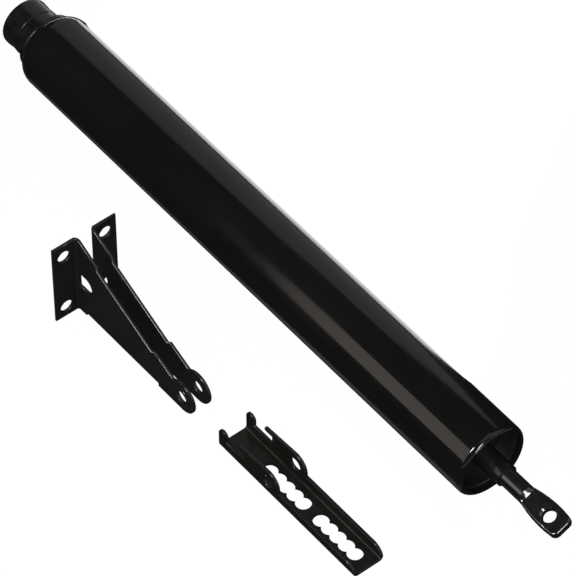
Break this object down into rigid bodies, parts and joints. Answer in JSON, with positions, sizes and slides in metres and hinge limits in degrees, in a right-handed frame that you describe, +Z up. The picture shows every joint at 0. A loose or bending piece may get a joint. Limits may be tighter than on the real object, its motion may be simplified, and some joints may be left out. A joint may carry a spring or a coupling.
{
  "type": "storm door closer",
  "caption": "Pneumatic door closer with a spring-returned rod, lying beside its forked jamb bracket and its slotted channel bracket for the door.",
  "frame": {"origin": "under the middle of the kit, on the surface that the three pieces lie on", "axes": "+X along the closer from its plug to the rod's eye, +Z up, +Y from the brackets to the closer"},
  "size_m": [0.3884, 0.109, 0.0478],
  "materials": {
    "gloss_black": "gloss",
    "satin_black": "satin",
    "rod_black": "gloss",
    "bracket_black": "satin",
    "plated_steel": "satin",
    "spring_steel": "satin",
    "nitrile": "matte",
    "acetal": "matte",
    "felt": "matte",
    "brass": "satin"
  },
  "bodies": {
    "barrel": {"barrel_tube": "gloss_black", "end_plug": "satin_black", "plug_gasket": "nitrile", "plug_nut": "plated_steel", "rod_end_dish": "gloss_black", "guide_bush": "satin_black", "front_spring_seat": "acetal", "felt_ring": "felt", "return_spring": "spring_steel"},
    "piston_set": {"piston": "acetal", "piston_cup": "nitrile", "back_washer": "plated_steel", "piston_ring": "acetal", "spring_washer": "plated_steel"},
    "rod": {"piston_rod": "rod_black", "rod_nut": "plated_steel"},
    "valve": {"valve_screw": "brass", "valve_ring": "nitrile"},
    "jamb_piece": {"jamb_bracket": "bracket_black"},
    "door_piece": {"door_bracket": "bracket_black"}
  },
  "joints": [
    {"name": "rod_slide", "type": "slide", "parent": "barrel", "child": "piston_set", "axis": [1, 0, 0], "range_m": [0, 0.178], "stiffness_N_per_m": 200, "springref_m": -0.1, "deforming": ["return_spring"]},
    {"name": "rod_turn", "type": "hinge", "parent": "piston_set", "child": "rod", "pos_m": [0, 0.03545, 0.01905], "axis": [1, 0, 0], "continuous": true},
    {"name": "valve_turn", "type": "hinge", "parent": "barrel", "child": "valve", "pos_m": [-0.1882, 0.03853, 0.01321], "axis": [1, 0, 0], "range_deg": [-180, 180]},
    {"name": "jamb_lift", "type": "slide", "parent": "barrel", "child": "jamb_piece", "axis": [0, 0, 1], "range_m": [0, 0.1]},
    {"name": "door_lift", "type": "slide", "parent": "barrel", "child": "door_piece", "axis": [0, 0, 1], "range_m": [0, 0.1]}
  ]
}
